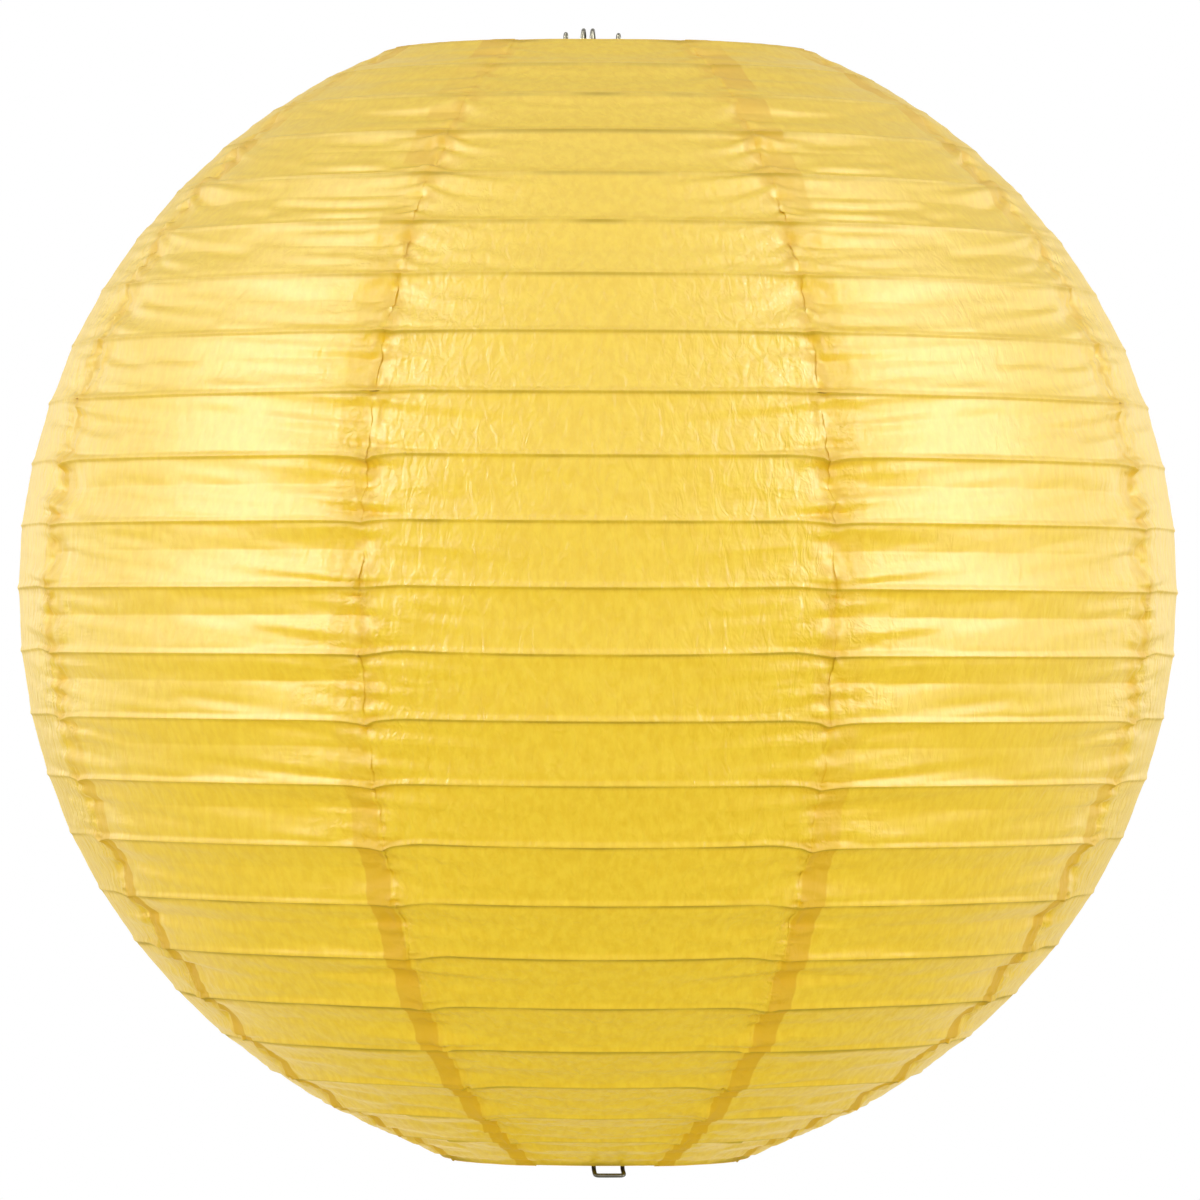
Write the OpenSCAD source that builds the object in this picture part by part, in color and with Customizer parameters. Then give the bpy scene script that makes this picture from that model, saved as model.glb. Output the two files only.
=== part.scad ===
// Accordion paper lantern: 24 wire rings, 8 glued paper gores and a bent-wire expander with a hanging loop.
// Millimetres, +Z up. The origin is where a hook bears, inside the top of the hanging loop.

/* [Lantern] */
// Outside diameter at the equator, across the paper
lantern_d = 406; // [300:2:500]
// Diameter of the top opening, to the centre of its rim wire
top_opening_d = 152; // [120:1:180]
// Diameter of the bottom opening, to the centre of its rim wire
bottom_opening_d = 107; // [90:1:130]
// Paper bands from the top rim down to the equator ring
upper_bands = 11; // [8:1:12]
// Paper bands from the equator ring down to the bottom rim
lower_bands = 12; // [8:1:13]
// How far the expander pushes the bottom rim down out of the ball's round outline
bottom_rim_drop = 2.4; // [0:0.1:5]

/* [Wires] */
// Diameter of a rib ring's wire
rib_wire_d = 1; // [0.8:0.1:1.4]
// Diameter of the two rim rings' wire
rim_wire_d = 1.6; // [1.2:0.1:2.2]

/* [Paper] */
// Thickness that one sheet is drawn with
paper_t = 0.3; // [0.2:0.05:0.4]
// Gores round the lantern: every second one is glued over its two neighbours' edges
gore_count = 8; // [6:2:12]
// How far a lower gore runs on under its neighbour, to be glued
glue_lap = 12; // [8:0.5:16]
// How far the paper sinks in, halfway between two rings
band_sag = 2.4; // [1:0.1:4]
// Turn of the hem round its rim wire, from the outer face inwards and under
hem_wrap = 215; // [150:5:270]

/* [Clearances] */
// Between a wire and the paper over it
wire_gap = 0.3; // [0.2:0.05:0.5]
// Between the lower and the upper sheet of a glued lap
layer_gap = 0.3; // [0.2:0.05:0.5]
// Between two bands, where the sheet creases over a ring
crease_gap = 0.3; // [0.2:0.05:0.5]
// Between a rim's hem and the expander's wire that it seats on
seat_gap = 0.3; // [0.2:0.05:0.5]
// Between the legs and the bottom hem that slides up along them
leg_gap = 0.5; // [0.4:0.1:2]

/* [Expander] */
// Diameter of the expander's wire
expander_wire_d = 1.5; // [1.2:0.1:2]
// Radius of the wire's bends, to its centre line
bend_r = 1.4; // [1.2:0.1:2]
// Turn of the expander about the lantern's axis
expander_turn = 5; // [0:1:45]
// Inside diameter of the hanging loop
loop_inner_d = 6; // [5:0.5:10]
// Turns of wire in the hanging loop
loop_turns = 2; // [1:1:3]
// Sideways pitch of those turns
loop_pitch = 3.2; // [2.5:0.1:4]
// How far the loop sits to one side of the lantern's axis
loop_offset = 4.2; // [0:0.1:6]
// Height of the loop's inside top above the top rim
loop_rise = 9; // [6.5:0.1:14]
// Height of each locating tip above the top rim's centre
tip_rise = 3.6; // [2:0.1:6]
// Height of the kink in the rear arm above the top rim's centre
kink_rise = 10; // [2:0.1:12]
// Distance of that kink behind the loop
kink_back = 12; // [9:0.5:20]
// How far it stands sideways past the loop's outer turn
kink_side = 2.9; // [2:0.1:5]
// How far each shoulder reaches out past the top rim's wire
shoulder_reach = 1.6; // [1:0.1:3]
// Outside width of each foot's U-turn
foot_w = 11.5; // [8:0.5:16]
// How far each foot reaches out past the bottom rim's wire
foot_reach = 4.6; // [3:0.1:8]
// Drop of a foot from under the hem to its outer end
foot_drop = 1.8; // [0.5:0.1:3]
// Height of the wire's cut end above the bottom rim
foot_end_rise = 8; // [4:1:20]

/* [Folding] */
// Height of one band when the lantern is folded flat
folded_pitch = 1.6; // [1.6:0.1:3]

/* [Hidden] */
$fn = 64;
hem_steps = 10;       // flats along the rolled hem's section
wire_sides = 10;      // sides of the expander's swept wire
bend_steps = 5;       // rings of the sweep in each bend
loop_steps = 16;      // rings of the sweep in each turn of the loop
leg_run_out = 14;     // height over which a leg swings sideways into its foot
stack_room = 4;       // height kept free under the folded stack

bands = upper_bands + lower_bands;
wire_sphere_r = lantern_d / 2 - rib_wire_d / 2 - wire_gap - 2 * paper_t - layer_gap;
top_angle = asin(top_opening_d / 2 / wire_sphere_r);
bottom_angle = 180 - asin(bottom_opening_d / 2 / wire_sphere_r);
centre_z = -loop_rise - wire_sphere_r * cos(top_angle);
crease_angle = crease_gap / 2 / wire_sphere_r * 180 / PI;
lantern_axis = loop_offset * [cos(expander_turn), sin(expander_turn), 0];

// Ring k runs from 0, the top rim, to bands, the bottom rim. Its angle is measured at the sphere's
// centre from straight up, in equal steps above the equator ring and in equal steps below it.
function ring_angle(k) = k <= upper_bands
    ? top_angle + (90 - top_angle) * k / upper_bands
    : 90 + (bottom_angle - 90) * (k - upper_bands) / lower_bands;
function on_sphere(angle, out) = (wire_sphere_r + out) * [sin(angle), cos(angle)] + [0, centre_z];
function pushed_down(k) = [0, k == bands ? -bottom_rim_drop : 0];
function ring_at(k) = on_sphere(ring_angle(k), 0) + pushed_down(k);
function ring_wire_d(k) = k == 0 || k == bands ? rim_wire_d : rib_wire_d;
function two_digits(k) = str(k < 10 ? "0" : "", k);
function rib_name(k) = str("rib_", two_digits(k));
function band_name(k) = str("paper_band_", two_digits(k));

// ---------- rings ----------

module ring(k) {
    translate(lantern_axis)
        rotate_extrude()
            translate(ring_at(k))
                circle(d = ring_wire_d(k));
}

module top_rim() {
    color("dimgray") ring(0);
}

module bottom_rim() {
    color("dimgray") ring(bands);
}

module rib(k) {
    color("dimgray") ring(k);
}

// ---------- paper ----------

// Height of a sheet's inner face over a ring's centre line, for a lower (0) or an upper (1) gore.
function sheet_over(k, layer) = ring_wire_d(k) / 2 + wire_gap + layer * (paper_t + layer_gap);

// A band's section: creased out over its two rings, with a valley halfway between them.
function band_section(k, layer) =
    let (
        above = ring_angle(k - 1) + crease_angle,
        below = ring_angle(k) - crease_angle,
        over_above = sheet_over(k - 1, layer),
        over_below = sheet_over(k, layer),
        valley = sheet_over(min(max(k, 1), bands - 1), layer) - band_sag
    )
    [
        on_sphere(above, over_above + paper_t),
        on_sphere((above + below) / 2, valley + paper_t) + pushed_down(k) / 2,
        on_sphere(below, over_below + paper_t) + pushed_down(k),
        on_sphere(below, over_below) + pushed_down(k),
        on_sphere((above + below) / 2, valley) + pushed_down(k) / 2,
        on_sphere(above, over_above)
    ];

// An upper gore ends on its seams; a lower one runs on under it by the width of the lap.
module gore_strip(k, layer) {
    middle_r = (ring_at(k - 1)[0] + ring_at(k)[0]) / 2;
    half_angle = 180 / gore_count + (1 - layer) * glue_lap / middle_r * 180 / PI;
    rotate(-half_angle)
        rotate_extrude(angle = 2 * half_angle)
            polygon(band_section(k, layer));
}

// One gore looks straight to the front (-Y); its neighbours lie over it, and so on round.
module paper_band(k) {
    color("gold")
        translate(lantern_axis)
            for (gore = [0:gore_count - 1])
                rotate(-90 + gore * 360 / gore_count)
                    gore_strip(k, gore % 2);
}

// Points along an arc about the origin, in hem_steps flats.
function arc(r, from, to) = [
    for (i = [0:hem_steps])
        let (a = from + (to - from) * i / hem_steps)
        r * [cos(a), sin(a)]
];

// The sheet's edge, rolled round the rim wire from its outer face (side = 1 at the top rim, -1 at
// the bottom rim) through the opening's side and back under.
module hem(k, side) {
    inner_r = ring_wire_d(k) / 2 + wire_gap;
    start = 90 - ring_angle(k) + side * 2 * crease_angle * wire_sphere_r / inner_r;
    color("goldenrod")
        translate(lantern_axis)
            rotate_extrude()
                translate(ring_at(k))
                    polygon(concat(
                        arc(inner_r, start, start + side * hem_wrap),
                        arc(inner_r + paper_t, start + side * hem_wrap, start)
                    ));
}

module top_hem() {
    hem(0, 1);
}

module bottom_hem() {
    hem(bands, -1);
}

// ---------- expander ----------

// In the expander's own frame t runs sideways, s forwards (to -Y) and z up, from the lantern's axis.
rim_z = ring_at(0)[1];
base_z = ring_at(bands)[1];
hem_r = rim_wire_d / 2 + wire_gap + paper_t;
wire_r = expander_wire_d / 2;
loop_r = loop_inner_d / 2 + wire_r;
loop_low = -loop_inner_d / 2 - loop_r;
loop_half = loop_turns * loop_pitch / 2;
under_rim_z = rim_z - hem_r - seat_gap - wire_r;
tip_z = rim_z + tip_rise - wire_r;
tip_outer_s = top_opening_d / 2 - hem_r - seat_gap - wire_r;
tip_inner_s = tip_outer_s - 2 * bend_r;
shoulder_s = top_opening_d / 2 + shoulder_reach;
leg_s = bottom_opening_d / 2 - hem_r - leg_gap - wire_r;
leg_top_z = rim_z - bands * folded_pitch + stack_room;
foot_side = foot_w / 2 - wire_r;
foot_s = sqrt(leg_s * leg_s - foot_side * foot_side);
foot_out_s = bottom_opening_d / 2 + foot_reach - wire_r;
under_base_z = base_z - hem_r - seat_gap - wire_r;
kink_z = rim_z + kink_rise - wire_r;
kink_t = -loop_offset - loop_half - wire_r - kink_side;

// One leg from its arm's inner end to the cut end of its foot; fore is 1 for the front leg, -1 for the rear.
function leg_route(fore) = [
    [0, fore * tip_inner_s, under_rim_z],
    [0, fore * tip_inner_s, tip_z],
    [0, fore * tip_outer_s, tip_z],
    [0, fore * tip_outer_s, under_rim_z],
    [0, fore * shoulder_s, under_rim_z],
    [0, fore * (shoulder_s - bend_r), under_rim_z - 2 * bend_r],
    [0, fore * leg_s, leg_top_z],
    [0, fore * leg_s, base_z + leg_run_out],
    [-fore * foot_side, fore * foot_s, under_base_z + bend_r],
    [-fore * foot_side, fore * (foot_s + bend_r), under_base_z],
    [-fore * foot_side, fore * foot_out_s, under_base_z - foot_drop],
    [fore * foot_side, fore * foot_out_s, under_base_z - foot_drop],
    [fore * foot_side, fore * foot_s, under_base_z],
    [fore * foot_side, fore * foot_s, base_z + foot_end_rise]
];

rear_arm = [
    [kink_t, -kink_back - bend_r, under_rim_z],
    [kink_t, -kink_back - bend_r, kink_z],
    [kink_t, -kink_back + bend_r, kink_z],
    [kink_t, -kink_back + bend_r, loop_low],
    [-loop_offset - loop_half, -loop_r, loop_low]
];

function reversed(list) = [for (i = [len(list) - 1:-1:0]) list[i]];

// The loop is a helix about the t axis, entered and left along its lowest line.
loop_wire = [
    for (i = [0:loop_turns * loop_steps])
        let (turned = 360 * i / loop_steps)
        [
            -loop_offset - loop_half + loop_pitch * turned / 360,
            loop_r * sin(turned),
            -loop_inner_d / 2 - loop_r * cos(turned)
        ]
];

function unit(v) = v / norm(v);

// A corner of the route bent to the wire's radius, as points along its arc.
function bend(before, corner, after) =
    let (
        way_in = unit(corner - before),
        way_out = unit(after - corner),
        turn = acos(way_in * way_out),
        start = corner - way_in * bend_r * tan(turn / 2),
        inwards = unit(way_out - way_in * (way_in * way_out)),
        centre = start + inwards * bend_r
    )
    [for (i = [0:bend_steps])
        let (a = turn * i / bend_steps)
        centre - inwards * bend_r * cos(a) + way_in * bend_r * sin(a)];

function bent(route) = [
    for (i = [0:len(route) - 1])
        each i == 0 || i == len(route) - 1
            ? [route[i]]
            : bend(route[i - 1], route[i], route[i + 1])
];

loop_ahead = [-loop_offset + loop_half, loop_r, loop_low];
expander_route = concat(
    bent(concat(reversed(leg_route(-1)), rear_arm, [loop_wire[0]])),
    [for (i = [1:len(loop_wire) - 2]) loop_wire[i]],
    bent(concat([loop_wire[len(loop_wire) - 1], loop_ahead], leg_route(1)))
);

// A round wire along a list of points: each ring of the sweep stands across the way between its
// neighbours, and is turned from the last ring by no more than the route turns.
module wire(points) {
    last = len(points) - 1;
    way = [for (i = [0:last]) unit(points[min(i + 1, last)] - points[max(i - 1, 0)])];
    side = [
        for (i = 0, v = unit(cross(way[0], [1, 0, 0])); i <= last;
            i = i + 1, v = i > last ? v : unit(v - way[i] * (way[i] * v)))
            v
    ];
    corners = [
        for (i = [0:last])
            let (across = cross(way[i], side[i]))
            for (j = [0:wire_sides - 1])
                let (a = 360 * j / wire_sides)
                points[i] + wire_r * (side[i] * cos(a) + across * sin(a))
    ];
    walls = [
        for (i = [0:last - 1])
            for (j = [0:wire_sides - 1])
                let (a = i * wire_sides + j, b = i * wire_sides + (j + 1) % wire_sides)
                [a, a + wire_sides, b + wire_sides, b]
    ];
    first_end = [for (j = [0:wire_sides - 1]) j];
    last_end = [for (j = [wire_sides - 1:-1:0]) last * wire_sides + j];
    polyhedron(points = corners, faces = concat(walls, [first_end, last_end]));
}

module expander() {
    color("silver")
        translate(lantern_axis)
            rotate(expander_turn)
                wire([for (p = expander_route) [p[0], -p[1], p[2]]]);
}

expander();
top_rim();
bottom_rim();
top_hem();
bottom_hem();
for (k = [1:bands - 1])
    rib(k);
for (k = [1:bands])
    paper_band(k);
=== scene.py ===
# %% [markdown]
# # An accordion paper lantern
#
# A round paper lantern is a stack of wire hoops with eight boat-shaped gores of tissue paper glued
# over them. The paper creases at every hoop, so the whole ball folds flat like a bellows, and a
# bent steel wire inside holds it open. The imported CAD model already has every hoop, the wire and
# plain solids for the paper. This script keeps the metal and makes the paper again as crinkled
# tissue, and the first cell loads the model, which fixes where everything is.

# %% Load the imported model
import math
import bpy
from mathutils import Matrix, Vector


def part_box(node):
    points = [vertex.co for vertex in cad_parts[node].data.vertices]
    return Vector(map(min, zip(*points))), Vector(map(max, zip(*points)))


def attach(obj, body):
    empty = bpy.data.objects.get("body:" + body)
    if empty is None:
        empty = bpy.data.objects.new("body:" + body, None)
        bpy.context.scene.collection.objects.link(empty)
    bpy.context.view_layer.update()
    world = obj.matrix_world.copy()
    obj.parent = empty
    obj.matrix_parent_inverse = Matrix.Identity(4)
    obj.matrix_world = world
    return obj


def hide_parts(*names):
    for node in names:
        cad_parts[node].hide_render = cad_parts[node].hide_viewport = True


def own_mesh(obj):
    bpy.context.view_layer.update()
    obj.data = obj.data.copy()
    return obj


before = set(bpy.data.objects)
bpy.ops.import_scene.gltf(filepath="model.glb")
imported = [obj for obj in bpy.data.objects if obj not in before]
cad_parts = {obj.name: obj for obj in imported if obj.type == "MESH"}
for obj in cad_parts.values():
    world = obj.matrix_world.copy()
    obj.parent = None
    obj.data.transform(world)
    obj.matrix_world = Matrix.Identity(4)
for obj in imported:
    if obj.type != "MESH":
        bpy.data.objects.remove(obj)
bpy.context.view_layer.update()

from types import SimpleNamespace

import bmesh
import bpy
import numpy as np
from mathutils import Quaternion, Vector

# %% [markdown]
# ## Where the hoops are
#
# Everything made below hangs on the hoops, so their sizes are read from the model instead of being
# typed again. A hoop lies flat, so its box is as high as its wire is thick, and half the box's
# width less half that wire is the hoop's radius. The hoops lie on one sphere, apart from the lowest,
# which the expander pushes down. So each has an angle on that sphere, counted from straight up, and
# a height over it. Lengths are in millimetres from here on, because paper is made in millimetres,
# and become metres only when a mesh is written.

# %% Read the hoops
MM = 0.001


def hoop_size(node):
    """Centre, radius and wire diameter of a hoop in mm, from its box."""
    low, high = (np.array(corner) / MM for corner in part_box(node))
    wire = high[2] - low[2]
    return (low + high) / 2, (high[0] - low[0] - wire) / 2, wire


ribs = sorted(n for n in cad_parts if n.startswith("rib_"))
hoops = ["top_rim", *ribs, "bottom_rim"]
bands = len(hoops) - 1
hoop_centre, hoop_r, hoop_wire = (np.array(x) for x in zip(*map(hoop_size, hoops)))
axis = hoop_centre[:, :2].mean(0)
equator = int(np.argmax(hoop_r))
sphere_r = hoop_r[equator]
sphere_z = hoop_centre[equator, 2]
hoop_angle = np.arctan2(hoop_r, hoop_centre[:, 2] - sphere_z)
hoop_out = np.hypot(hoop_r, hoop_centre[:, 2] - sphere_z) - sphere_r
print(bands, "bands; sphere radius", round(sphere_r, 2), "mm; equator hoop", hoops[equator])

# %% [markdown]
# ## The camera
#
# A long lens from almost three metres away shows the ball nearly without perspective, so that its
# outline stays round. The camera stands a touch lower than the ball's middle and leans a quarter of
# a degree. It is aimed with a track quaternion, which turns the camera's own minus Z axis to a
# direction and keeps its Y axis up.

# %% Camera
centre = Vector((*axis, sphere_z)) * MM
camera = bpy.data.objects.new("camera", bpy.data.cameras.new("camera"))
bpy.context.scene.collection.objects.link(camera)
bpy.context.scene.camera = camera
camera.data.lens = 243.5
camera_distance = 2.84
camera_rise = math.radians(-0.25)
camera_lean = math.radians(0.25)
aim_past_centre = Vector((0.8, 0, -3.2)) * MM
aim = centre + aim_past_centre
back = Vector((0, -math.cos(camera_rise), math.sin(camera_rise)))
camera.location = aim + camera_distance * back
camera.rotation_mode = "QUATERNION"
camera.rotation_quaternion = (-back).to_track_quat("-Z", "Y") @ Quaternion((0, 0, 1), camera_lean)
print("camera at", tuple(round(v, 3) for v in camera.location))

# %% [markdown]
# ## Noise to crumple paper with
#
# Crumpled paper needs smooth random numbers that are the same at every run. Blender's texture
# nodes could displace a mesh, but numpy gives whole arrays at once and lets the folds follow the
# seams. The noise below looks up random numbers at the corners of a grid and blends between them.
# Folding it about its middle turns smooth hills into ridges, like the sharp creases in tissue.

# %% Noise
LATTICE_SIZE = 64
LATTICE = np.random.default_rng(16).random((LATTICE_SIZE, LATTICE_SIZE))


def ramp(x, start, end):
    """0 before start, 1 after end, and 3t^2 - 2t^3 between them."""
    t = np.clip((x - start) / (end - start), 0, 1)
    return t * t * (3 - 2 * t)


def noise(x, y):
    """Smooth noise from -1 to 1: lattice values blended by 3t^2 - 2t^3 along x and along y."""
    x, y = np.broadcast_arrays(x, y)
    i, j = np.floor(x).astype(int), np.floor(y).astype(int)
    s, t = ramp(x - i, 0, 1), ramp(y - j, 0, 1)
    i0, i1 = i % LATTICE_SIZE, (i + 1) % LATTICE_SIZE
    j0, j1 = j % LATTICE_SIZE, (j + 1) % LATTICE_SIZE
    left = LATTICE[i0, j0] * (1 - t) + LATTICE[i0, j1] * t
    right = LATTICE[i1, j0] * (1 - t) + LATTICE[i1, j1] * t
    return 2 * (left * (1 - s) + right * s) - 1


def ridges(x, y):
    """Noise with sharp ridges, from -1 to 1: 1 - 2|noise|."""
    return 1 - 2 * np.abs(noise(x, y))


sample = noise(np.arange(50) * 0.37, 0.5)
print("noise spans", round(sample.min(), 2), "to", round(sample.max(), 2))

# %% [markdown]
# ## How the paper lies
#
# Four things shape the sheet between two hoops, and each is a height over the sphere through the
# hoops' wires:
#
# - over each wire it stands up in a narrow bead, wider on the upper side, where it catches the
#   light, and steep below, where it makes a thin dark line;
# - between two wires it sinks in, softly on a lower gore and with a sharp fold on an upper one,
#   deepest near its edges, where the glue has pulled it tight;
# - next to a seam it is crumpled, mostly in long flat folds that run away from the seam, and near
#   the top opening they fan out and down from it;
# - every second gore lies over its two neighbours, so it is one sheet higher, and its cut edge
#   curls up a little where the glue missed it.
#
# No fold may press a sheet into a wire, so an arc round each wire is the least height there,
# whatever the folds do.
#
# The folds come from one field that both layers share, so that they nest and never cut through
# each other. The left half of the ball mirrors the right half. Lengths below are in millimetres,
# and hoops and bands are counted downwards, with the top rim as hoop 0.

# %% Sizes of the paper
paper = 0.2             # thickness of a sheet as it is drawn
wire_gap = 0.25         # between a wire and the sheet over it
least_gap = 0.12        # the same where a fold presses the sheet down
layer_step = 0.32       # an upper gore's height over a lower one
gores = 8
seam_angle = math.pi / gores
lap = 12                # how far a lower gore runs on under an upper one
cut_short = 0.3         # how far an upper gore's edge ends before the seam
cut_strays = 0.9        # how far that edge strays from a straight line
bead = 0.6              # height of the bead over a rib
ledge = 1.9             # width of its upper side
flank = 1.1             # width of its lower side
fold_at = 0.43          # share of a band's height, from its top, where the sharp fold lies
fold_depth = 1.9
hollow_depth = 0.75     # the soft hollow of a lower gore
rim_flare = 2.5         # how far from a rim the sheet rises to its hem
sheet_gap = 50          # between two gores' patterns of threads and crackle

hoop_number = np.arange(bands + 1)
base = hoop_wire[1] / 2 + wire_gap + paper
crest = bead * (0.35 + 0.65 * ramp(hoop_number, 3, 9))
crest[[0, bands]] = hoop_wire[0] / 2 + wire_gap + paper - base
reach_up = np.full(bands + 1, ledge)
reach_up[bands] = rim_flare
reach_down = np.full(bands + 1, flank)
reach_down[0] = rim_flare
print("outermost paper", round(sphere_r + base + bead + layer_step, 2), "mm from the middle")

# %% Where each crease wanders
luck = np.random.default_rng(5).random((4, bands + 1))
inner_hoop = (hoop_number > 0) & (hoop_number < bands)
busy = ramp(hoop_number, 3, 9)      # the paper is calmer near the top opening
dip = (0.8 + 1.1 * busy) * luck[0] ** 2 * inner_hoop
rise = (0.2 + 1.3 * luck[1]) * ramp(hoop_number, 5, 11) * inner_hoop


def crease_shift(k, x, upper):
    """How far crease k lies above its wire, in mm, at x mm inside a gore from its seam: an upper
    gore's crease dips to the seam, and a lower one's rises about 15 mm from it and sinks back."""
    if upper:
        return -dip[k] * np.exp(-x / 5)
    own = rise[k] * ramp(x, 0, 14) * np.exp(-np.maximum(x - 16, 0) / 30)
    return own - dip[k] * np.exp(-np.abs(x) / np.where(x > 0, 2, 5))


print("creases dip by up to", round(dip.max(), 1), "mm and rise by up to", round(rise.max(), 1))

# %% The shared field of folds
fold_pitch = 3.1        # down the meridian from one lattice row to the next
pucker_height = 0.7     # short and sharp, close to a seam
streak_height = 1.6     # long and flat
swell_height = 1.0      # as long, and wider
tissue_height = 0.06    # the two that cover a whole gore
wave_height = 0.25
slant = 6               # how far the folds near the top rise towards a seam
pucker_reach = 10       # how far from the seam a fold has lost two thirds of its height
streak_reach = 45


def crumple(x, into_upper, along, round_x, from_crease, k):
    """Height of the folds in mm. x is the distance past the nearest seam, into_upper the distance
    from it into an upper gore, along the distance down the meridian and round_x the distance round
    from the front. Three sizes of fold die away as exp(-distance / reach), twice as fast on a lower
    gore, and two faint ones cover the whole gore; all flatten over the wires. Knots sit where a
    seam crosses a wire. Near the top, along grows towards the seam, which slants the folds."""
    near = np.where(into_upper > 0, into_upper, -2 * into_upper)
    along = along + slant * (1 - ramp(k, 6, 10)) * np.exp(-near / 16)
    row = along / fold_pitch
    far = np.exp(-near / streak_reach)
    puckers = pucker_height * np.exp(-near / pucker_reach) * ridges(x / 5 + 9, row)
    streaks = (streak_height - 0.35 * ramp(k, 10, 13)) * far * noise(x / 30 + 3, row + 0.03 * x)
    swells = swell_height * far * noise(x / 38 + 5, along / 6.5)
    tissue = tissue_height * noise(round_x / 11, along / 14)
    waves = wave_height * noise(round_x / 33, along / 19)
    at_crossing = np.exp(-(x**2 + from_crease**2) / 16)
    knots = (0.25 + 0.55 * busy[k]) * at_crossing * ridges(x / fold_pitch + 7, row)
    calm = 0.15 + 0.85 * ramp(from_crease, 0, 3)
    lively = (0.4 + 0.6 * ramp(k, 2, 5)) * calm
    return (puckers + streaks + swells + tissue + waves) * lively + knots


near_seam = crumple(2.0, 2.0, np.arange(90.0), 9.0, 5.0, equator)
print("folds 2 mm from a seam span", round(np.ptp(near_seam), 2), "mm")

# %% [markdown]
# ## One gore strip
#
# A strip is a grid. Its columns run across the gore and stand closer together near the seams,
# where the folds are. Its rows run down the band: a few at fixed distances below the upper crease
# and above the lower one, to draw the beads, and the others at shares of the height between. From
# each grid point's two angles and its height over the sphere come x, y and z. The same grid moved
# in by the sheet's thickness is the inner face, and the two are joined along their edges into a
# closed shell, which a Solidify modifier would also give, but not with layers that nest.

# %% Rows and columns
below_crease = [0, 0.2, 0.4, 0.6, 0.8, 1.2, 2.0]
shares = [0.14, 0.19, 0.245, 0.3, 0.355, fold_at - 0.02, fold_at, fold_at + 0.02, 0.5, 0.555, 0.61,
          0.665, 0.72, 0.775, 0.825]
above_crease = [2.8, 2.1, 1.7, 1.3, 0.9, 0.5, 0]
row_share = np.array([0] * len(below_crease) + shares + [1] * len(above_crease))
row_offset = np.array(below_crease + [0] * len(shares) + [-d for d in above_crease])


def columns(radius):
    """Places across a gore from -1 to 1, t + 0.19 sin(pi t), which is 4 times as dense at the seams
    as in the middle."""
    t = np.linspace(-1, 1, 2 * max(24, round(42 * radius / sphere_r)) + 1)
    return t + 0.19 * np.sin(math.pi * t)


print(len(row_share), "rows;", len(columns(sphere_r)), "columns at the equator")


# %% From angles to points
def on_ball(angle, turn, out):
    """Points in metres at an angle from straight up and a turn about the axis, out mm over the
    sphere through the wires: (radius + out) sin(angle) from the axis and (radius + out) cos(angle)
    over the middle."""
    r = (sphere_r + out) * np.sin(angle)
    z = sphere_z + (sphere_r + out) * np.cos(angle)
    return np.stack([axis[0] + r * np.cos(turn), axis[1] + r * np.sin(turn), z], -1) * MM


def seam_distance(turn, radius):
    """Distance in mm past the nearest seam, positive away from the front, and round from the front:
    each is the turn between them times the radius."""
    from_front = np.abs((turn + math.pi / 2 + math.pi) % (2 * math.pi) - math.pi)
    seam = (np.floor(from_front / (2 * seam_angle)) + 0.5) * 2 * seam_angle
    return (from_front - seam) * radius, from_front * radius


print("top of the ball", on_ball(np.array(0.0), 0.0, 0.0).round(4))

# %% [markdown]
# ## Where a strip's points lie
#
# A gore is widest at the equator and narrows towards both rims. An upper gore was cut by hand, so
# its edge strays a little, and it ends just short of the seam. A lower gore runs on under it by the
# lap. The first and the last row follow the wandering creases. What comes later goes by a point's
# distance from the seam and from the creases, so these are worked out once for each strip.

# %% The grid of a strip
def lay_out(k, gore):
    """The grid of one gore between hoops k - 1 and k, with its angles and its distances in mm. A
    row's angle is the upper crease's plus its distance down over the sphere's radius. A column's
    turn is the gore's middle plus the place across it times half the turn that the gore spans."""
    upper = gore % 2 == 1
    middle = -math.pi / 2 + gore * 2 * seam_angle
    across = columns((hoop_r[k - 1] + hoop_r[k]) / 2)
    run_on = -cut_short if upper else lap

    def turn_from_middle(angle):
        ragged = upper * cut_strays * noise(gore * 3.3, angle * sphere_r / 4.5)
        return across * (seam_angle + (run_on + ragged) / (sphere_r * np.sin(angle)))

    edge_x = [hoop_r[h] * (seam_angle - np.abs(turn_from_middle(hoop_angle[h]))) for h in (k - 1, k)]
    start = hoop_angle[k - 1] - crease_shift(k - 1, edge_x[0], upper) / sphere_r
    end = hoop_angle[k] - crease_shift(k, edge_x[1], upper) / sphere_r
    height = (end - start) * sphere_r
    down = row_share[:, None] * height + row_offset[:, None]
    up = height - down
    angle = start + down / sphere_r
    turn = middle + turn_from_middle(angle)
    radius = sphere_r * np.sin(angle)
    inside = radius * (seam_angle - np.abs(turn - middle))
    x, round_x = seam_distance(turn, radius)
    return SimpleNamespace(
        k=k, gore=gore, upper=upper, angle=angle, turn=turn, along=angle * sphere_r,
        down=down, up=up, share=down / height, from_crease=np.minimum(down, up),
        inside=inside, into_upper=inside if upper else -inside,
        x=x, round_x=round_x, from_front=np.abs(round_x) / radius)


at = lay_out(equator, 0)
print("the front gore is", round(2 * at.inside.max(), 1), "mm wide over the equator, without its laps")

# %% [markdown]
# ## How high a strip's points lie
#
# The parts of the height are added up here. The drawn-in fold is deepest in the middle bands, where
# the gores are widest. From the sides on, and all round the back, the beads are lower and the
# paper sinks in less. An upper gore's sheet is thinned towards its cut edge, and a lower gore's lap
# is tucked in, so that no thick step shows at a seam.

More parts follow.
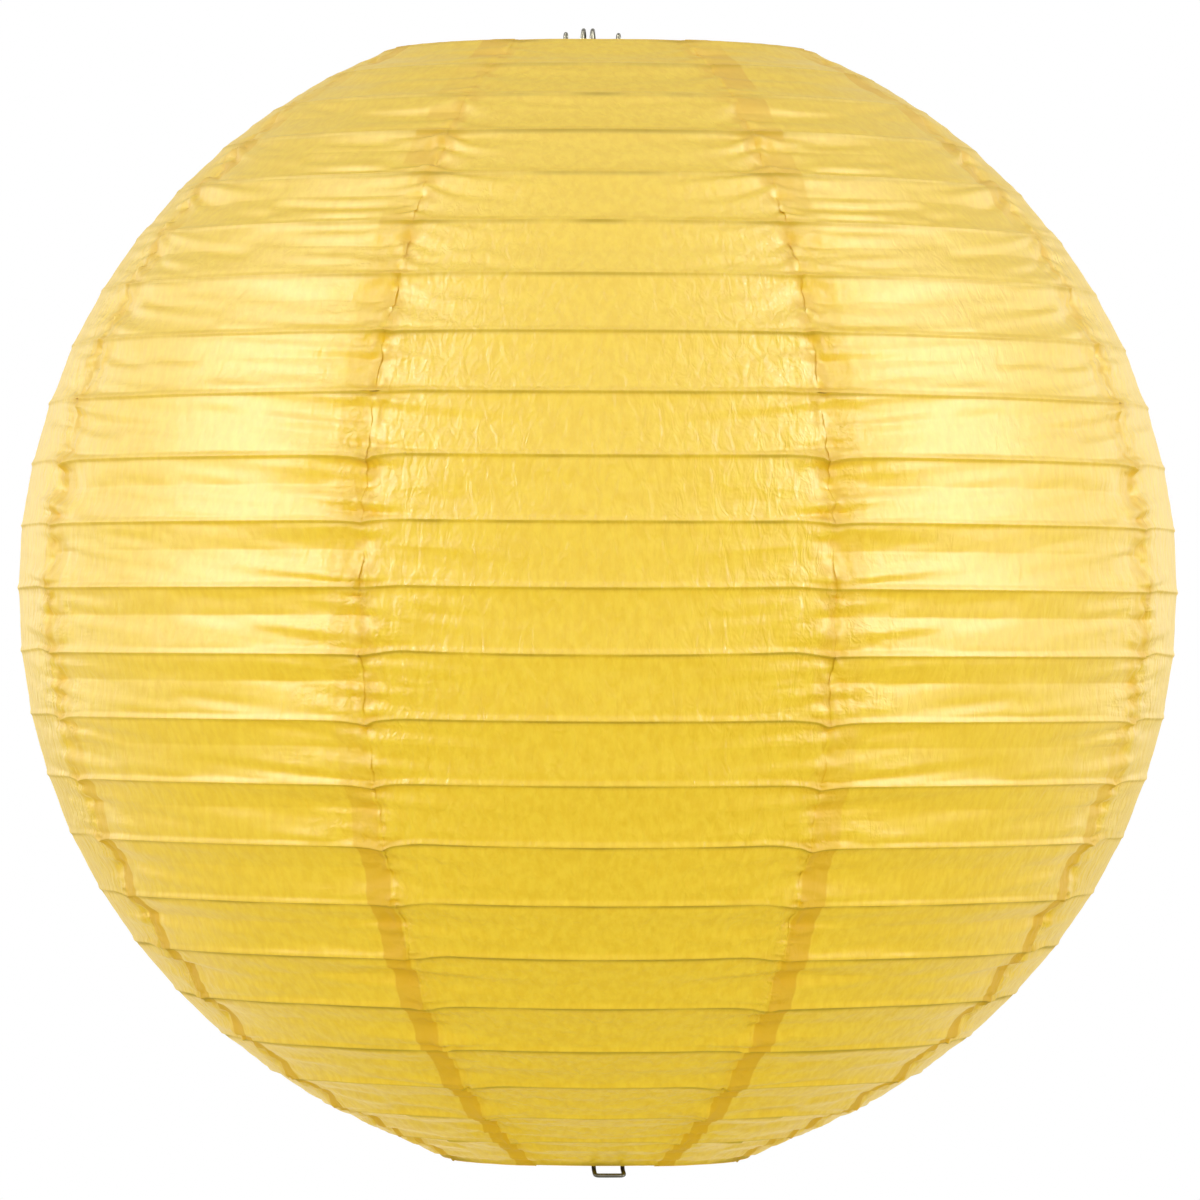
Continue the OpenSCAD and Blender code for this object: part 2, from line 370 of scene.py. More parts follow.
# %% The height of a strip
middle_bands = ramp(hoop_number, 8, 11) * (1 - ramp(hoop_number, 16, 19))
sharpness = (0.5 + 0.3 * ramp(hoop_number, 3, 6) + 0.6 * middle_bands) * (0.8 + 0.4 * luck[2])
loose = (0.3 + 0.3 * (luck[3] > 0.5)) * (1 - ramp(hoop_number, 16, 19)) * ramp(hoop_number, 4, 6)


def over_wire(past, around):
    """Least height of a sheet near a wire's middle: an arc of that radius round it, and straight
    down at 45 degrees from there on."""
    past = np.abs(past)
    arc = np.sqrt(np.maximum(around**2 - past**2, 0))
    return np.where(past < around / math.sqrt(2), arc, math.sqrt(2) * around - past)


def relief(at):
    """Height over the sphere and thickness of a strip, in mm. The height is base + hoops + layer
    - tuck + beads - (fold + hollow) + crumples + curl, and at least the arc round each wire."""
    k = at.k
    sideways = ramp(at.from_front, 1.1, 1.4)
    beads = crest[k] * (1 - ramp(at.up, 0, reach_up[k]))
    beads = beads + crest[k - 1] * (1 - ramp(at.down, 0, reach_down[k - 1]))
    beads = beads * (1 - 0.4 * sideways)
    tent = np.where(at.share < fold_at, at.share / fold_at, (1 - at.share) / (1 - fold_at))
    bowl = 4 * at.share * (1 - at.share)
    drawn_in = ramp(at.into_upper, -6, 4) * np.exp(-np.maximum(at.into_upper, 0) / 75)
    fold = fold_depth * sharpness[k] * drawn_in * tent
    hollow = (hollow_depth - 0.45 * ramp(at.into_upper, -10, 10)) * bowl
    sink = (fold + hollow) * (1 - 0.6 * sideways)
    crumples = crumple(at.x, at.into_upper, at.along, at.round_x, at.from_crease, k)
    curl = at.upper * loose[k] * np.exp(-at.inside / 1.6) * (0.3 + noise(k * 3.7, at.along / 4))
    tuck = (1 - at.upper) * 0.3 * ramp(-at.inside, 1, 4)
    off_ball = hoop_out[k - 1] * (1 - at.share) + hoop_out[k] * at.share
    layer = at.upper * (layer_step - 0.24 * (1 - ramp(at.inside, 0, 3)))
    out = base + off_ball + layer - tuck + beads - sink + crumples + curl
    for h in (k - 1, k):
        past_wire = (at.angle - hoop_angle[h]) * sphere_r
        arc = over_wire(past_wire, hoop_wire[h] / 2 + least_gap)
        out = np.maximum(out, hoop_out[h] + paper + layer + arc)
    thickness = paper * (1 - 0.7 * at.upper * (1 - ramp(at.inside, 0, 1.5)))
    return out, thickness


out, thickness = relief(at)
print("the front gore lies", out.min().round(2), "to", out.max().round(2), "mm over the sphere")

# %% [markdown]
# ## What the paint follows
#
# Part of a lantern's colour follows its form: the lap where two sheets are glued, darkened with
# painted shade where less light comes through them, the stains of glue beside a seam and at its
# creases, and painted shade at the dark foot of each crease. These could be painted on an image,
# but every strip already knows its own distances, so each is worked out as a number at every
# point. It goes into the mesh as an attribute, which the material reads. The lap's painted shade
# hardly shows halfway up the lantern, shows a little near the top and best in the lower bands, and
# the crease's painted shade is darkest on the front gore and weaker on the lit sides.

# %% The paint of a strip
narrower = ramp(hoop_number, 13, 17) + ramp(hoop_number, 18, 22)
lap_width = lap - 2.5 * narrower
# Painted shade on the lap: two sheets let less light through, so the lap is darkened most in the lower
# bands, a little near the top and faintly halfway up.
lap_shade_strength = 0.2 + 0.8 * ramp(hoop_number, 13, 17) + 0.25 * (1 - ramp(hoop_number, 3, 7))


def strip_paint(at):
    """What the material reads at each point. From 0 to about 1 are double (two glued sheets, with
    painted shade where less light comes through them), stain (glue), crease (painted shade at its
    dark foot), grain (the roller's wrinkles) and drawn (tight at a seam). They are sums and products
    of noise, of exp(-distance / width) or exp(-(distance / width)^2), and of strengths that change
    from band to band. inside is the distance in from the seam, stretched so that a narrower lap still
    ends at lap, and sheet_mm the place on the sheet, both in mm."""
    k = at.k
    low = ramp(k, 15, 20)
    last = k == bands
    patches = np.clip(1 + 1.8 * noise(at.gore * 7.7, at.along / 6), 0.1, 1.8)
    double = at.upper * lap_shade_strength[k] * (patches + (1 - patches) * busy[k])
    blots = np.clip(2.6 * noise(at.x / 2.6 + 5, at.along / 2.9), 0, 1)
    stain = np.exp(-((at.x / 6) ** 2)) * blots * (1 - 0.6 * ramp(k, 12, 15))
    dots = np.exp(-((at.x / (5 + 3 * luck[2, k])) ** 2 + ((at.from_crease - 1.0) / 1.2) ** 2))
    dots = dots * (luck[3, k] > 0.25) * (1 - ramp(k, 16, 19))
    # Painted shade: crease darkens the foot of each bead, where the wire and the fold keep light out.
    # It is stronger in the low bands and weaker on the lit sides.
    below = np.exp(-(((at.down - 0.5 - 0.4 * low) / (1.1 - 0.5 * busy[k] + 0.5 * low)) ** 2))
    above = (0.3 + 0.7 * last) * np.exp(-((at.up / (0.3 + 1.2 * last)) ** 2))
    crease = (below + above) * (0.7 + 0.45 * noise(at.round_x / 14, k * 2.3)) * (1 + 0.5 * low)
    crease = crease * (1 - 0.55 * ramp(at.from_front, 0.3, 0.6) * (1 - low))
    grain = np.full_like(at.x, (0.35 if at.upper else 1.0) * (0.3 + 0.7 * busy[k]))
    drawn = np.exp(-np.abs(at.x) / 22) * ramp(at.from_crease, 0, 2) * (0.25 + 0.75 * busy[k])
    drawn = drawn * np.clip(0.6 + 1.4 * noise(at.x / 8 + 3, at.along / 11), 0.1, 1.2)
    sheet_mm = np.stack([at.x, at.along, np.full_like(at.x, at.gore * sheet_gap)], -1)
    return {"double": double, "inside": at.inside * lap / lap_width[k],
            "stain": np.maximum(stain, dots), "crease": np.minimum(crease, 1),
            "grain": grain, "drawn": drawn, "sheet_mm": sheet_mm}


print("paint:", ", ".join(strip_paint(at)))


# %% One strip of paper
def strip(k, gore):
    """Outer and inner grids of points and the paint of one gore between hoops k - 1 and k. The
    inner grid is the outer one lowered by the sheet's thickness."""
    at = lay_out(k, gore)
    out, thickness = relief(at)
    outer = on_ball(at.angle, at.turn, out)
    inner = on_ball(at.angle, at.turn, out - thickness)
    return outer, inner, strip_paint(at)


outer, inner, _ = strip(equator, 0)
print("a strip has", outer.shape[0], "x", outer.shape[1], "points on each face")

# %% [markdown]
# ## Writing a mesh
#
# A grid of points becomes quads between neighbouring rows and columns. Rows run down and columns
# run round to the right-hand side as seen from outside, so a quad that goes down first and then
# across has its front outwards. The inner grid is turned the other way, and the wall's quads use
# each border edge backwards, so that every edge is used once in each direction and the shell is
# closed. Arrays are handed to Blender with foreach_set, with no loop over points.

# %% A closed shell
def shell(outer, inner):
    """Points and quads of a thin closed shell between two grids of the same size: the outer face,
    the inner face turned over and a wall round their border."""
    rows, cols = outer.shape[:2]
    at = np.arange(rows * cols).reshape(rows, cols)
    face = np.stack([at[:-1, :-1], at[1:, :-1], at[1:, 1:], at[:-1, 1:]], -1).reshape(-1, 4)
    border = np.concatenate([at[:-1, 0], at[-1, :-1], at[:0:-1, -1], at[0, :0:-1]])
    after = np.roll(border, -1)
    wall = np.stack([after, border, border + at.size, after + at.size], -1)
    points = np.concatenate([outer.reshape(-1, 3), inner.reshape(-1, 3)])
    return points, np.concatenate([face, face[:, ::-1] + at.size, wall])


points, quads = shell(outer, inner)
print("a strip's shell has", len(points), "points and", len(quads), "quads")

# %% A piece of several shells
sharp_from = math.radians(50)   # an edge bent further than this stays sharp


def piece(name, shells, paints, material):
    """A mesh object of several closed shells, with each paint as a point attribute."""
    starts = np.cumsum([0] + [len(points) for points, _ in shells[:-1]])
    points = np.concatenate([points for points, _ in shells])
    quads = np.concatenate([faces + start for (_, faces), start in zip(shells, starts)])
    mesh = bpy.data.meshes.new(name)
    mesh.vertices.add(len(points))
    mesh.vertices.foreach_set("co", points.ravel())
    mesh.loops.add(quads.size)
    mesh.loops.foreach_set("vertex_index", quads.ravel())
    mesh.polygons.add(len(quads))
    mesh.polygons.foreach_set("loop_start", np.arange(0, quads.size, 4))
    mesh.update(calc_edges=True)
    for key, first in paints[0].items():
        values = np.concatenate([np.tile(paint[key].ravel(), 2) for paint in paints])
        kind, field = ("FLOAT_VECTOR", "vector") if first.ndim == 3 else ("FLOAT", "value")
        mesh.attributes.new(key, kind, "POINT").data.foreach_set(field, values)
    mesh.shade_smooth()
    mesh.set_sharp_from_angle(angle=sharp_from)
    mesh.materials.append(material)
    made = bpy.data.objects.new(name, mesh)
    bpy.context.scene.collection.objects.link(made)
    return made


print("edges bent further than", round(math.degrees(sharp_from)), "degrees stay sharp")

# %% [markdown]
# ## Building materials from nodes
#
# Each material is a Principled BSDF whose colour, roughness and bump come from noise. The effects
# that several materials share are node groups. A group only hands out colours and values; the
# shader stays in the material. A few small helpers keep the node code short.

# %% Node helpers
def colour(r, g, b):
    """A colour as it is seen, from 0 to 255 for each part, turned into the linear light that nodes
    use: ((c + 0.055) / 1.055)^2.4."""
    return [*(((c / 255 + 0.055) / 1.055) ** 2.4 for c in (r, g, b)), 1]


def plug(tree, socket, value):
    """Links an input socket to an output socket, or gives it a plain value."""
    if isinstance(value, bpy.types.NodeSocket):
        tree.links.new(value, socket)
    else:
        socket.default_value = value


def node(tree, kind, inputs=None, **settings):
    """A node of that kind. inputs maps its input sockets to output sockets or plain values, and
    settings are its own."""
    made = tree.nodes.new(kind)
    for key, value in settings.items():
        setattr(made, key, value)
    for key, value in (inputs or {}).items():
        plug(tree, made.inputs[key], value)
    return made


def mix(tree, factor, a, b):
    """The colour output of a Mix node: a (1 - factor) + b factor."""
    made = node(tree, "ShaderNodeMix", data_type="RGBA")
    for socket, value in zip((made.inputs[0], made.inputs[6], made.inputs[7]), (factor, a, b)):
        plug(tree, socket, value)
    return made.outputs[2]


def maths(tree, operation, a, b=0.0):
    """The output of a Math node."""
    return node(tree, "ShaderNodeMath", {0: a, 1: b}, operation=operation).outputs[0]


def new_group(name, inputs, outputs):
    """An empty node group with named sockets, with what its input node gives and what its output
    node takes."""
    tree = bpy.data.node_groups.new(name, "ShaderNodeTree")
    for title, kind, value in inputs:
        socket = tree.interface.new_socket(title, in_out="INPUT", socket_type="NodeSocket" + kind)
        socket.default_value = value
    for title, kind in outputs:
        tree.interface.new_socket(title, in_out="OUTPUT", socket_type="NodeSocket" + kind)
    return tree, tree.nodes.new("NodeGroupInput").outputs, tree.nodes.new("NodeGroupOutput").inputs


print("a mid grey of 128 is", round(colour(128, 128, 128)[0], 3), "in linear light")

# %% [markdown]
# ## Tissue paper
#
# Tissue isn't one colour: the pulp is thicker in some places, which shows as soft blotches. Its
# surface has a fine fibre and short upright wrinkles from the roller it was dried on. The group
# makes the blotches and the wrinkles. The material adds what follows the lantern's own shape,
# which the strips hold as attributes: the lap of two glued sheets and the stains of glue beside it
# are amber and duller, with painted shade added on the lap where less light comes through two
# sheets; the foot of each crease gets a painted olive shade; and where the glue has drawn the sheet
# tight, near the seams, fine threads and a crackle stand across it.

# %% Tissue group
wrinkle_height = 2.8    # heights here are shares of the bump's distance
fibre_height = 0.25
tissue, given, gives = new_group(
    "tissue",
    [("Thin", "Color", colour(252, 213, 32)), ("Thick", "Color", colour(245, 202, 6)),
     ("Blotch size", "Float", 2.6), ("Grain", "Float", 1.0)],
    [("Color", "Color"), ("Height", "Float")],
)
place = node(tissue, "ShaderNodeTexCoord").outputs["Object"]
upright = node(tissue, "ShaderNodeMapping", {"Vector": place, "Scale": (1000, 1000, 420)}).outputs[0]
blotch_scale = maths(tissue, "DIVIDE", 1.0, given["Blotch size"])
blotches = node(tissue, "ShaderNodeTexNoise",
                {"Vector": upright, "Scale": blotch_scale, "Detail": 3.0, "Roughness": 0.6})
wrinkles = node(tissue, "ShaderNodeTexNoise",
                {"Vector": upright, "Scale": 0.26, "Detail": 2.0, "Roughness": 0.5, "Distortion": 0.6})
fibres = node(tissue, "ShaderNodeTexNoise",
              {"Vector": upright, "Scale": 0.9, "Detail": 2.0, "Roughness": 0.6})
contrast = node(tissue, "ShaderNodeMapRange",
                {"Value": blotches.outputs["Fac"], "From Min": 0.37, "From Max": 0.63})
tissue.links.new(mix(tissue, contrast.outputs[0], given["Thin"], given["Thick"]), gives["Color"])
wrinkled = maths(tissue, "MULTIPLY", wrinkles.outputs["Fac"], wrinkle_height)
wrinkled = maths(tissue, "MULTIPLY", wrinkled, given["Grain"])
fibred = maths(tissue, "MULTIPLY", given["Grain"], fibre_height)
fibred = maths(tissue, "MULTIPLY", fibres.outputs["Fac"], fibred)
tissue.links.new(maths(tissue, "ADD", wrinkled, fibred), gives["Height"])
print("tissue group:", len(tissue.nodes), "nodes")

# %% Paper colour
stain_strength = 0.7
crease_shade_strength = 0.75
lap_end_blur = 0.4      # in mm, like the next two
lap_starts = 0.8        # how far inside its cut edge a lap begins to show
lap_full = 1.6
paper_material = bpy.data.materials.new("yellow_tissue")
paper_material.use_nodes = True
tree = paper_material.node_tree
shader = tree.nodes["Principled BSDF"]
# amber is the colour of glue, and on the lap it is also painted shade
glue_amber_and_shade = colour(234, 184, 3)
# olive is painted shade, mixed in at the foot of each crease and under the hems
shade_olive = colour(180, 149, 22)
attributes = {key: node(tree, "ShaderNodeAttribute", attribute_name=key).outputs["Fac"]
              for key in ("double", "inside", "stain", "crease", "grain", "drawn")}
sheet = node(tree, "ShaderNodeGroup", node_tree=tissue)
tree.links.new(attributes["grain"], sheet.inputs["Grain"])
before_end = node(tree, "ShaderNodeMapRange",
                  {"Value": attributes["inside"], "From Min": lap - lap_end_blur,
                   "From Max": lap + lap_end_blur, "To Min": 1.0, "To Max": 0.0})
past_edge = node(tree, "ShaderNodeMapRange",
                 {"Value": attributes["inside"], "From Min": lap_starts, "From Max": lap_full})
in_lap = maths(tree, "MULTIPLY", before_end.outputs[0], past_edge.outputs[0])
# The lap's amber is the glue's colour and also painted shade where less light comes through two
# sheets.
glue_and_lap_shade = maths(tree, "MAXIMUM", maths(tree, "MULTIPLY", attributes["double"], in_lap),
              maths(tree, "MULTIPLY", attributes["stain"], stain_strength))
lap_shaded = mix(tree, glue_and_lap_shade, sheet.outputs["Color"], glue_amber_and_shade)
# Painted shade: the crease attribute mixes the olive in.
crease_shaded = maths(tree, "MULTIPLY", attributes["crease"], crease_shade_strength)
tree.links.new(mix(tree, crease_shaded, lap_shaded, shade_olive), shader.inputs["Base Color"])
print("paper colour:", len(tree.nodes), "nodes")

# %% Paper gloss and bump
paper_roughness = 0.46
glue_dulls = 0.4
crease_dulls = 0.5
thread_height = 3.0
crackle_height = -4.0   # below 0, so its lines stand up
dulled = maths(tree, "ADD", maths(tree, "MULTIPLY", glue_and_lap_shade, glue_dulls),
               maths(tree, "MULTIPLY", attributes["crease"], crease_dulls))
tree.links.new(maths(tree, "ADD", dulled, paper_roughness), shader.inputs["Roughness"])
shader.inputs["Specular IOR Level"].default_value = 0.45
on_sheet = node(tree, "ShaderNodeAttribute", attribute_name="sheet_mm").outputs["Vector"]
fanned = node(tree, "ShaderNodeMapping", {"Vector": on_sheet, "Scale": (0.05, 0.26, 1)}).outputs[0]
threads = node(tree, "ShaderNodeTexNoise",
               {"Vector": fanned, "Scale": 1.0, "Detail": 1.5, "Roughness": 0.5, "Distortion": 0.3})
threaded = maths(tree, "MULTIPLY", threads.outputs["Fac"], thread_height)
threaded = maths(tree, "MULTIPLY", threaded, attributes["drawn"])
crackle = node(tree, "ShaderNodeTexNoise",
               {"Vector": on_sheet, "Scale": 0.22, "Detail": 2.0, "Roughness": 0.5, "Distortion": 0.5})
from_half = maths(tree, "ABSOLUTE", maths(tree, "SUBTRACT", crackle.outputs["Fac"], 0.5))
crackled = maths(tree, "MULTIPLY", from_half, crackle_height)
crackled = maths(tree, "MULTIPLY", crackled, maths(tree, "POWER", attributes["drawn"], 1.7))
height = maths(tree, "ADD", sheet.outputs["Height"], maths(tree, "ADD", threaded, crackled))
bump = node(tree, "ShaderNodeBump", {"Height": height, "Strength": 0.9, "Distance": 0.35 * MM})
tree.links.new(bump.outputs[0], shader.inputs["Normal"])
print("paper material:", len(tree.nodes), "nodes")

# %% [markdown]
# ## Steel wire
#
# Drawn wire is bright along its length with fine lines and a few dull spots. The hoops' wire is
# paler than the expander's. One group serves both, with its own two colours for each.

# %% Steel group
bright_roughness = 0.2
wear_dulls = 0.25
steel, given, gives = new_group(
    "drawn_steel",
    [("Bright", "Color", colour(190, 188, 180)), ("Dull", "Color", colour(140, 138, 130)),
     ("Wear", "Float", 1.0)],
    [("Color", "Color"), ("Roughness", "Float"), ("Height", "Float")],
)
place = node(steel, "ShaderNodeTexCoord").outputs["Object"]
spots = node(steel, "ShaderNodeTexNoise", {"Vector": place, "Scale": 260.0, "Detail": 3.0})
lines = node(steel, "ShaderNodeTexNoise", {"Vector": place, "Scale": 2600.0, "Detail": 1.0})
worn = maths(steel, "MULTIPLY", spots.outputs["Fac"], given["Wear"])
steel.links.new(mix(steel, worn, given["Bright"], given["Dull"]), gives["Color"])
dulled = maths(steel, "MULTIPLY", worn, wear_dulls)
steel.links.new(maths(steel, "ADD", dulled, bright_roughness), gives["Roughness"])
steel.links.new(lines.outputs["Fac"], gives["Height"])
print("steel group:", len(steel.nodes), "nodes")


# %% Steel materials
def steel_material(name, bright, dull, wear):
    """Steel of those two colours, with the group's fine lines as bump."""
    material = bpy.data.materials.new(name)
    material.use_nodes = True
    tree = material.node_tree
    shader = tree.nodes["Principled BSDF"]
    wire = node(tree, "ShaderNodeGroup", node_tree=steel)
    for key, value in (("Bright", bright), ("Dull", dull), ("Wear", wear)):
        wire.inputs[key].default_value = value
    bump = node(tree, "ShaderNodeBump",
                {"Height": wire.outputs["Height"], "Strength": 0.3, "Distance": 0.03 * MM})
    tree.links.new(wire.outputs["Color"], shader.inputs["Base Color"])
    tree.links.new(wire.outputs["Roughness"], shader.inputs["Roughness"])
    tree.links.new(bump.outputs[0], shader.inputs["Normal"])
    shader.inputs["Metallic"].default_value = 1.0
    return material


hoop_steel = steel_material("hoop_steel", colour(170, 166, 155), colour(120, 116, 105), 1.0)
expander_steel = steel_material("expander_steel", colour(112, 109, 96), colour(66, 64, 56), 0.9)
print("steel materials:", hoop_steel.name, expander_steel.name)

# %% [markdown]
# ## The paper bands
#
# The paper is cut at every hoop into bands, because a band is what folds. Each band is one piece of
# eight strips. It rides on the body of its lower hoop.


def body_of_hoop(k):
    """The body that hoop k belongs to."""
    return "bottom_rim_body" if k == bands else f"rib_{k:02d}_body"


for k in range(1, bands + 1):
    made = [strip(k, gore) for gore in range(gores)]
    band = piece(f"tissue_band_{k:02d}", [shell(a, b) for a, b, _ in made],
                 [paint for *_, paint in made], paper_material)
    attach(band, body_of_hoop(k))
    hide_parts(f"paper_band_{k:02d}")
    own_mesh(band)

# %% [markdown]
# ## The hems
#
# At each rim the paper is rolled round the wire, through the opening and back under. The hem goes
# on from the band's edge, with the same columns and the same two layers, along an arc round the
# wire. At the top the rows are taken from the tucked-in end to the band, so that they still run
# down the ball and the faces stay outwards.

# %% One strip of a hem
hem_wrap = math.radians(215)            # how far a hem goes round its wire
hem_rows = 17
# A hem's crease is painted shade, strongest on the bottom hem's underside.
hem_shade_at = {1: 0.5, -1: 1.2}       # where its painted shade lies on the arc, in radians
hem_shade_strength = {1: 0.6, -1: 1.0}


def hem_strip(k, gore, way):
    """One gore's roll round rim k: points hoop radius + r cos(slant) from the axis and r sin(slant)
    over the hoop, at a slant that goes on round the wire. way is 1 at the top rim, where the arc
    turns up and in and its rows run backwards, and -1 at the bottom rim."""
    upper = gore % 2 == 1
    turned = np.linspace(0, hem_wrap, hem_rows)[::-way, None]
    half = seam_angle + (0 if upper else lap) / hoop_r[k]
    middle = -math.pi / 2 + gore * 2 * seam_angle
    turn = middle + columns(hoop_r[k])[None, :] * half
    slant = math.pi / 2 - hoop_angle[k] + way * turned
    x, round_x = seam_distance(turn, hoop_r[k])
    at_seam = np.exp(-np.abs(x) / 4)
    rough = 0.12 * noise(round_x / 3.1, slant * 1.5) + 0.15 * at_seam * noise(x / 2, slant)
    rough = rough * ramp(turned, 0, 0.5)
    radius = hoop_wire[k] / 2 + wire_gap + upper * layer_step + np.maximum(rough, -0.1)

    def rolled(radius):
        r = hoop_r[k] + radius * np.cos(slant)
        z = hoop_centre[k, 2] + radius * np.sin(slant)
        return np.stack([axis[0] + r * np.cos(turn), axis[1] + r * np.sin(turn), z], -1) * MM

    x, turned, turn = np.broadcast_arrays(x, turned, turn)
    inside = hoop_r[k] * (half - np.abs(turn - middle))
    crease = hem_shade_strength[way] * np.exp(-((turned - hem_shade_at[way]) / 0.6) ** 2)
    sheet_mm = np.stack([x, turned * 1.5, np.full_like(x, gore * sheet_gap)], -1)
    paint = {"double": np.full_like(x, 0.5 * upper), "inside": inside, "stain": np.zeros_like(x),
             "crease": crease, "grain": np.full_like(x, 0.5), "drawn": np.zeros_like(x),
             "sheet_mm": sheet_mm}
    return rolled(radius + paper), rolled(radius), paint


print("a hem goes", round(math.degrees(hem_wrap)), "degrees round its wire")

# %% Make the hems
for name, k, way, body in (("top_hem", 0, 1, "frame"), ("bottom_hem", bands, -1, "bottom_rim_body")):
    made = [hem_strip(k, gore, way) for gore in range(gores)]
    hem = piece("rolled_" + name, [shell(a, b) for a, b, _ in made],
                [paint for *_, paint in made], paper_material)
    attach(hem, body)
    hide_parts(name)
    print(hem.name, "has", len(hem.data.polygons), "quads")

# %% [markdown]
# ## The metal
#
# The hoops stay as the model has them and only get their steel. The expander's wire is bent with
# flats that show in a close look, so a copy of its mesh has its loose triangles merged and is
# shaded smooth, and only the two cut ends keep a sharp edge.

# %% Hoops and expander
for name in hoops:
    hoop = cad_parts[name]
    hoop.data.materials.clear()
    hoop.data.materials.append(hoop_steel)

wire_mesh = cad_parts["expander"].data.copy()
wire_mesh.name = "expander_wire"
work = bmesh.new()
work.from_mesh(wire_mesh)
bmesh.ops.remove_doubles(work, verts=work.verts, dist=0.001 * MM)
work.to_mesh(wire_mesh)
work.free()
wire_mesh.shade_smooth()
wire_mesh.set_sharp_from_angle(angle=sharp_from)
wire_mesh.materials.clear()
wire_mesh.materials.append(expander_steel)
expander = bpy.data.objects.new("expander_wire", wire_mesh)
bpy.context.scene.collection.objects.link(expander)
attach(expander, "frame")
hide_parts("expander")
print("expander wire:", len(wire_mesh.vertices), "points")

# %% [markdown]
# ## Floor and light
#
# The lantern hangs in a white studio. One wide lamp behind the camera and two small ones at the
# sides give plain soft light, in which a colour renders about as it is written. The pale sheen on
# the paper's shoulders is gloss and no light: soft lamps that only reflections see stand where
# those shoulders mirror them, and leave the yellow beneath as it is. The world is white where the
# camera or a reflection sees it, and dimmer as light. The far floor is white in reflections too.
# Seen from underneath it is clear, so that the camera can look at the lantern from below.

# %% Floor
floor_drop = 0.66       # below the lantern's middle, in metres like the next one
floor_radius = 2.2
floor_sides = 96
ring_turns = np.linspace(0, 2 * math.pi, floor_sides, endpoint=False)
floor_points = np.stack([centre.x + floor_radius * np.cos(ring_turns),
                         centre.y + floor_radius * np.sin(ring_turns),
                         0 * ring_turns + centre.z - floor_drop], -1)
floor_mesh = bpy.data.meshes.new("floor")
floor_mesh.from_pydata(floor_points.tolist(), [], [list(range(floor_sides))])
floor = bpy.data.objects.new("floor", floor_mesh)
bpy.context.scene.collection.objects.link(floor)
print("floor at", round(centre.z - floor_drop, 3), "m")

# %% Floor material
shown_glow = 0.35       # what the camera sees of the floor is lifted by this much white
floor_material = bpy.data.materials.new("pale_floor")
floor_material.use_nodes = True
tree = floor_material.node_tree
shader = tree.nodes["Principled BSDF"]
shader.inputs["Base Color"].default_value = (0.86, 0.86, 0.86, 1)
shader.inputs["Roughness"].default_value = 0.9
shader.inputs["Emission Color"].default_value = (1, 1, 1, 1)
ray = node(tree, "ShaderNodeLightPath").outputs
place = node(tree, "ShaderNodeTexCoord").outputs["Object"]
behind = node(tree, "ShaderNodeSeparateXYZ", {"Vector": place}).outputs["Y"]
paler = node(tree, "ShaderNodeMapRange", {"Value": behind, "From Min": 0.2, "From Max": 0.7,
                                          "To Min": 0.2, "To Max": 1.0}).outputs[0]
glow = maths(tree, "ADD", maths(tree, "MULTIPLY", ray["Is Glossy Ray"], paler),
             maths(tree, "MULTIPLY", ray["Is Camera Ray"], shown_glow))
tree.links.new(glow, shader.inputs["Emission Strength"])
underside = node(tree, "ShaderNodeNewGeometry").outputs["Backfacing"]
see_through = maths(tree, "MULTIPLY", underside, ray["Is Camera Ray"])
clear = node(tree, "ShaderNodeBsdfTransparent").outputs[0]
either = node(tree, "ShaderNodeMixShader", {0: see_through, 1: shader.outputs[0], 2: clear})
tree.links.new(either.outputs[0], tree.nodes["Material Output"].inputs["Surface"])
floor_mesh.materials.append(floor_material)
print("floor material:", len(tree.nodes), "nodes")


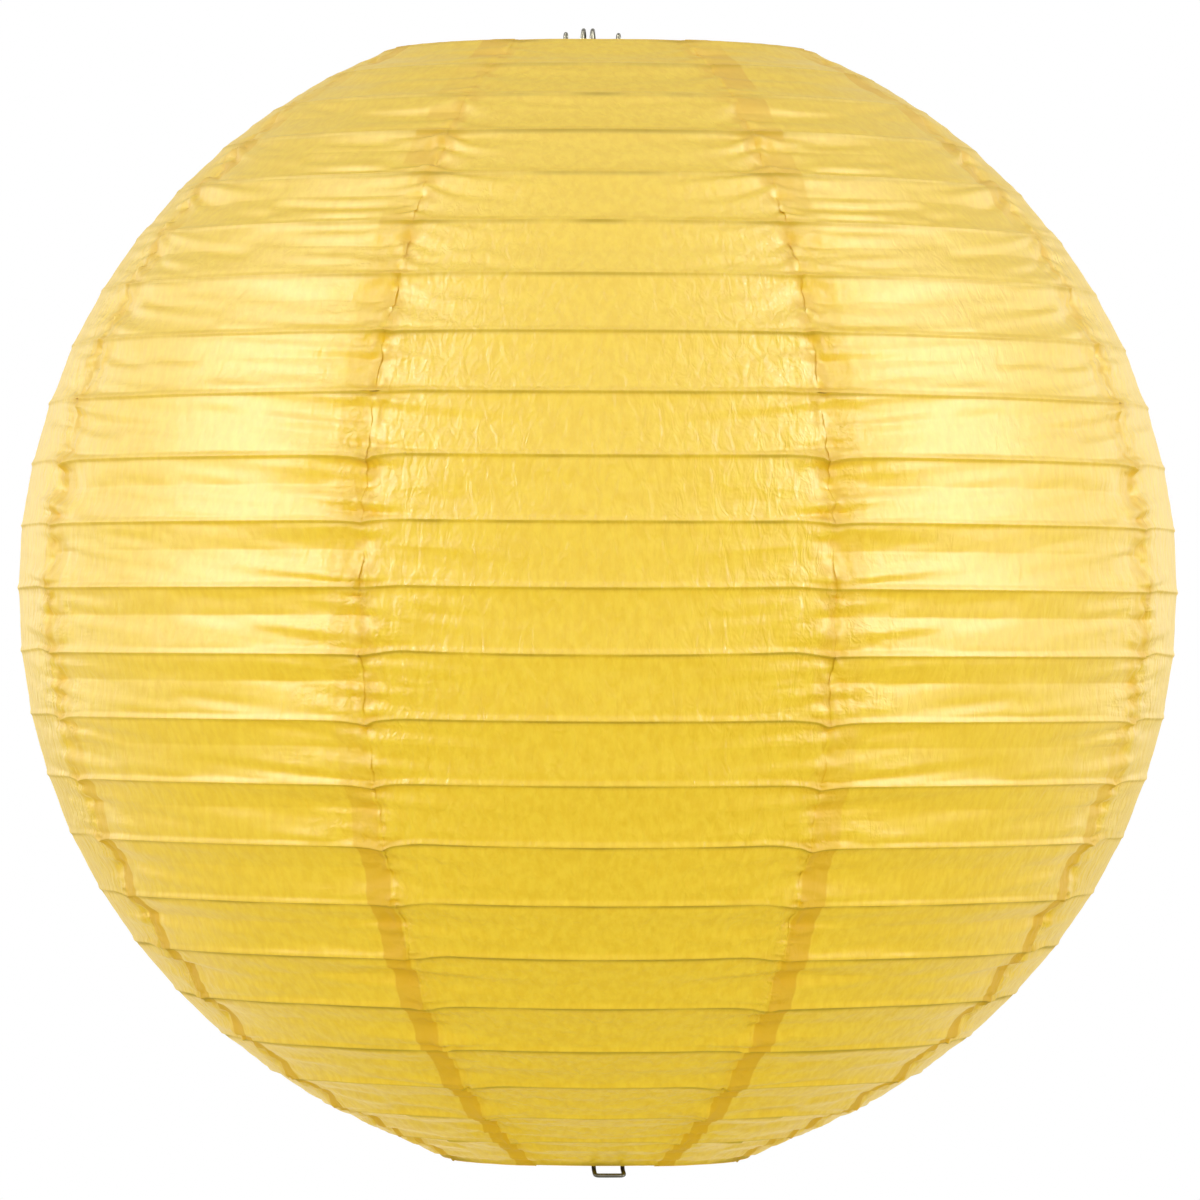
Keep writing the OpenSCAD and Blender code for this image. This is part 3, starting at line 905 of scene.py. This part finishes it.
# %% Lamps
def soft_lamp(name, direction, distance, width, watts, glossy_only):
    """A square area lamp of that width, which shines at the lantern's middle from a direction. A
    glossy_only lamp is only seen in reflections and adds no light of its own. Rays sampled from a
    surface's gloss would still carry some of it to the colour beneath, so it goes without them."""
    lamp = bpy.data.objects.new(name, bpy.data.lights.new(name, "AREA"))
    lamp.data.size = width
    lamp.data.energy = watts
    way = Vector(direction).normalized()
    lamp.location = centre + way * distance
    lamp.rotation_mode = "QUATERNION"
    lamp.rotation_quaternion = (-way).to_track_quat("-Z", "Y")
    lamp.visible_diffuse = not glossy_only
    lamp.data.cycles.use_multiple_importance_sampling = not glossy_only
    lamp.visible_camera = False
    bpy.context.scene.collection.objects.link(lamp)


side_lamps = (   # name, direction on the right, distance, width, watts, seen in reflections only
    ("lamp_", (0.85, -0.3, 0.3), 1.6, 0.8, 4.4, False),
    ("high_sheen_", (0.78, -0.27, 0.67), 1.5, 1.2, 26, True),
    ("low_sheen_", (0.88, -0.25, 0.28), 1.5, 1.1, 21, True),
    ("front_sheen_", (0.82, -0.5, 0.22), 1.5, 0.8, 12, True),
    ("back_sheen_", (0.8, 0.58, 0.15), 1.6, 1.0, 7.5, True),
)
soft_lamp("lamp_front", (0, -1, 0.05), 3.2, 3.2, 37.6, False)
soft_lamp("top_sheen", (0, -0.45, 0.9), 1.8, 3.2, 60, True)
for side, side_name in ((-1, "left"), (1, "right")):
    for name, (x, y, z), distance, width, watts, glossy_only in side_lamps:
        soft_lamp(name + side_name, (x * side, y, z), distance, width, watts, glossy_only)

# %% World
world_light = 0.5
world = bpy.data.worlds.new("studio")
bpy.context.scene.world = world
world.use_nodes = True
tree = world.node_tree
tree.nodes.clear()
ray = node(tree, "ShaderNodeLightPath").outputs
mirrored = maths(tree, "MAXIMUM", ray["Is Glossy Ray"], ray["Is Transmission Ray"])
shown = maths(tree, "MAXIMUM", ray["Is Camera Ray"], mirrored)
light = node(tree, "ShaderNodeBackground", {"Color": (1, 1, 1, 1), "Strength": world_light})
white = node(tree, "ShaderNodeBackground", {"Color": (1, 1, 1, 1), "Strength": 1.0})
both = node(tree, "ShaderNodeMixShader", {0: shown, 1: light.outputs[0], 2: white.outputs[0]})
node(tree, "ShaderNodeOutputWorld", {"Surface": both.outputs[0]})
bpy.context.scene.view_settings.view_transform = "Standard"
print("world:", len(tree.nodes), "nodes")
